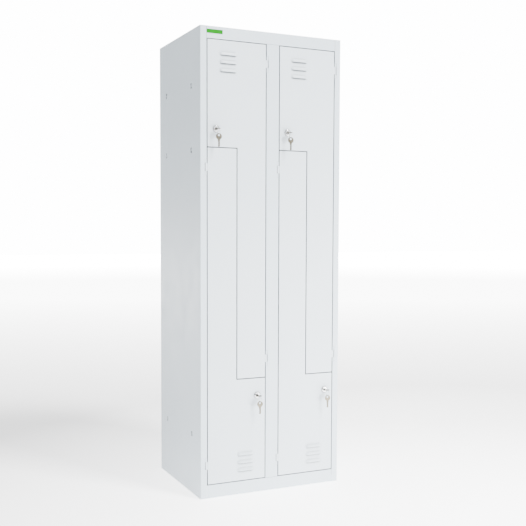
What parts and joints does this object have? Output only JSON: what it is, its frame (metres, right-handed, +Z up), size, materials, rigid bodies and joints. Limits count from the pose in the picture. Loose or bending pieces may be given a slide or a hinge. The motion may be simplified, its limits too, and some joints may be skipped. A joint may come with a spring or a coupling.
{
  "type": "z locker",
  "caption": "Steel clothes locker whose columns are each shared by interlocking L-shaped Z doors, with cam locks, keys on rings, pressed louvres, shelves and coat rails",
  "frame": {"origin": "on the floor, under the middle of the whole outline with the hanging keys", "axes": "+X to the right, +Y to the back, +Z up, doors towards -Y"},
  "size_m": [0.6, 0.5328, 1.8],
  "materials": {
    "carcass_paint": "light grey powder coat, satin",
    "door_paint": "light grey powder coat, satin",
    "lock_chrome": "polished chrome",
    "key_nickel": "nickel-plated, worn satin",
    "zinc_steel": "bright zinc plate",
    "label_green": "plain green, blank"
  },
  "bodies": {
    "cabinet": {"side_panel_left": "carcass_paint", "side_panel_right": "carcass_paint", "top_panel": "carcass_paint", "floor_panel": "carcass_paint", "back_panel": "carcass_paint", "centre_partition": "carcass_paint", "centre_post": "carcass_paint", "z_partition_left": "carcass_paint", "split_stop_left": "carcass_paint", "hat_shelf_left": "carcass_paint", "shoe_shelf_left": "carcass_paint", "z_partition_right": "carcass_paint", "split_stop_right": "carcass_paint", "hat_shelf_right": "carcass_paint", "shoe_shelf_right": "carcass_paint", "label_plate": "label_green", "coat_rail_upper_left": "zinc_steel", "coat_rail_lower_left": "zinc_steel", "coat_rail_upper_right": "zinc_steel", "coat_rail_lower_right": "zinc_steel", "hinge_pin_upper_left_1": "zinc_steel", "hinge_pin_upper_left_2": "zinc_steel", "hinge_pin_lower_left_1": "zinc_steel", "hinge_pin_lower_left_2": "zinc_steel", "hinge_pin_upper_right_1": "zinc_steel", "hinge_pin_upper_right_2": "zinc_steel", "hinge_pin_lower_right_1": "zinc_steel", "hinge_pin_lower_right_2": "zinc_steel"},
    "door_upper_left": {"door_upper_left": "door_paint", "door_stiffener_upper_left": "door_paint", "lock_housing_upper_left": "lock_chrome"},
    "lock_upper_left": {"lock_plug_upper_left": "lock_chrome", "lock_cam_upper_left": "zinc_steel"},
    "key_upper_left": {"key_upper_left": "key_nickel"},
    "ring_upper_left": {"key_ring_upper_left": "zinc_steel"},
    "spare_upper_left": {"spare_key_upper_left": "key_nickel"},
    "door_lower_left": {"door_lower_left": "door_paint", "door_stiffener_lower_left": "door_paint", "lock_housing_lower_left": "lock_chrome"},
    "lock_lower_left": {"lock_plug_lower_left": "lock_chrome", "lock_cam_lower_left": "zinc_steel"},
    "key_lower_left": {"key_lower_left": "key_nickel"},
    "ring_lower_left": {"key_ring_lower_left": "zinc_steel"},
    "spare_lower_left": {"spare_key_lower_left": "key_nickel"},
    "door_upper_right": {"door_upper_right": "door_paint", "door_stiffener_upper_right": "door_paint", "lock_housing_upper_right": "lock_chrome"},
    "lock_upper_right": {"lock_plug_upper_right": "lock_chrome", "lock_cam_upper_right": "zinc_steel"},
    "key_upper_right": {"key_upper_right": "key_nickel"},
    "ring_upper_right": {"key_ring_upper_right": "zinc_steel"},
    "spare_upper_right": {"spare_key_upper_right": "key_nickel"},
    "door_lower_right": {"door_lower_right": "door_paint", "door_stiffener_lower_right": "door_paint", "lock_housing_lower_right": "lock_chrome"},
    "lock_lower_right": {"lock_plug_lower_right": "lock_chrome", "lock_cam_lower_right": "zinc_steel"},
    "key_lower_right": {"key_lower_right": "key_nickel"},
    "ring_lower_right": {"key_ring_lower_right": "zinc_steel"},
    "spare_lower_right": {"spare_key_lower_right": "key_nickel"}
  },
  "joints": [
    {"name": "door_hinge_upper_left", "type": "hinge", "parent": "cabinet", "child": "door_upper_left", "pos_m": [-0.024, -0.2191, 0.903], "axis": [0, 0, 1], "range_deg": [0, 97]},
    {"name": "lock_turn_upper_left", "type": "hinge", "parent": "door_upper_left", "child": "lock_upper_left", "pos_m": [-0.23675, -0.2236, 1.41825], "axis": [0, 1, 0], "range_deg": [0, 90]},
    {"name": "key_draw_upper_left", "type": "slide", "parent": "lock_upper_left", "child": "key_upper_left", "axis": [0, -1, 0], "range_m": [0, 0.022]},
    {"name": "ring_swing_upper_left", "type": "hinge", "parent": "key_upper_left", "child": "ring_upper_left", "pos_m": [-0.23675, -0.2531, 1.41825], "axis": [0, 1, 0], "range_deg": [-30, 30]},
    {"name": "spare_swing_upper_left", "type": "hinge", "parent": "ring_upper_left", "child": "spare_upper_left", "pos_m": [-0.23675, -0.2531, 1.39535], "axis": [0, 1, 0], "range_deg": [-40, 40]},
    {"name": "door_hinge_lower_left", "type": "hinge", "parent": "cabinet", "child": "door_lower_left", "pos_m": [-0.277, -0.2191, 0.903], "axis": [0, 0, -1], "range_deg": [0, 97]},
    {"name": "lock_turn_lower_left", "type": "hinge", "parent": "door_lower_left", "child": "lock_lower_left", "pos_m": [-0.06425, -0.2236, 0.38775], "axis": [0, 1, 0], "range_deg": [0, 90]},
    {"name": "key_draw_lower_left", "type": "slide", "parent": "lock_lower_left", "child": "key_lower_left", "axis": [0, -1, 0], "range_m": [0, 0.022]},
    {"name": "ring_swing_lower_left", "type": "hinge", "parent": "key_lower_left", "child": "ring_lower_left", "pos_m": [-0.06425, -0.2531, 0.38775], "axis": [0, 1, 0], "range_deg": [-30, 30]},
    {"name": "spare_swing_lower_left", "type": "hinge", "parent": "ring_lower_left", "child": "spare_lower_left", "pos_m": [-0.06425, -0.2531, 0.36485], "axis": [0, 1, 0], "range_deg": [-40, 40]},
    {"name": "door_hinge_upper_right", "type": "hinge", "parent": "cabinet", "child": "door_upper_right", "pos_m": [0.277, -0.2191, 0.903], "axis": [0, 0, 1], "range_deg": [0, 97]},
    {"name": "lock_turn_upper_right", "type": "hinge", "parent": "door_upper_right", "child": "lock_upper_right", "pos_m": [0.06425, -0.2236, 1.41825], "axis": [0, 1, 0], "range_deg": [0, 90]},
    {"name": "key_draw_upper_right", "type": "slide", "parent": "lock_upper_right", "child": "key_upper_right", "axis": [0, -1, 0], "range_m": [0, 0.022]},
    {"name": "ring_swing_upper_right", "type": "hinge", "parent": "key_upper_right", "child": "ring_upper_right", "pos_m": [0.06425, -0.2531, 1.41825], "axis": [0, 1, 0], "range_deg": [-30, 30]},
    {"name": "spare_swing_upper_right", "type": "hinge", "parent": "ring_upper_right", "child": "spare_upper_right", "pos_m": [0.06425, -0.2531, 1.39535], "axis": [0, 1, 0], "range_deg": [-40, 40]},
    {"name": "door_hinge_lower_right", "type": "hinge", "parent": "cabinet", "child": "door_lower_right", "pos_m": [0.024, -0.2191, 0.903], "axis": [0, 0, -1], "range_deg": [0, 97]},
    {"name": "lock_turn_lower_right", "type": "hinge", "parent": "door_lower_right", "child": "lock_lower_right", "pos_m": [0.23675, -0.2236, 0.38775], "axis": [0, 1, 0], "range_deg": [0, 90]},
    {"name": "key_draw_lower_right", "type": "slide", "parent": "lock_lower_right", "child": "key_lower_right", "axis": [0, -1, 0], "range_m": [0, 0.022]},
    {"name": "ring_swing_lower_right", "type": "hinge", "parent": "key_lower_right", "child": "ring_lower_right", "pos_m": [0.23675, -0.2531, 0.38775], "axis": [0, 1, 0], "range_deg": [-30, 30]},
    {"name": "spare_swing_lower_right", "type": "hinge", "parent": "ring_lower_right", "child": "spare_lower_right", "pos_m": [0.23675, -0.2531, 0.36485], "axis": [0, 1, 0], "range_deg": [-40, 40]}
  ]
}
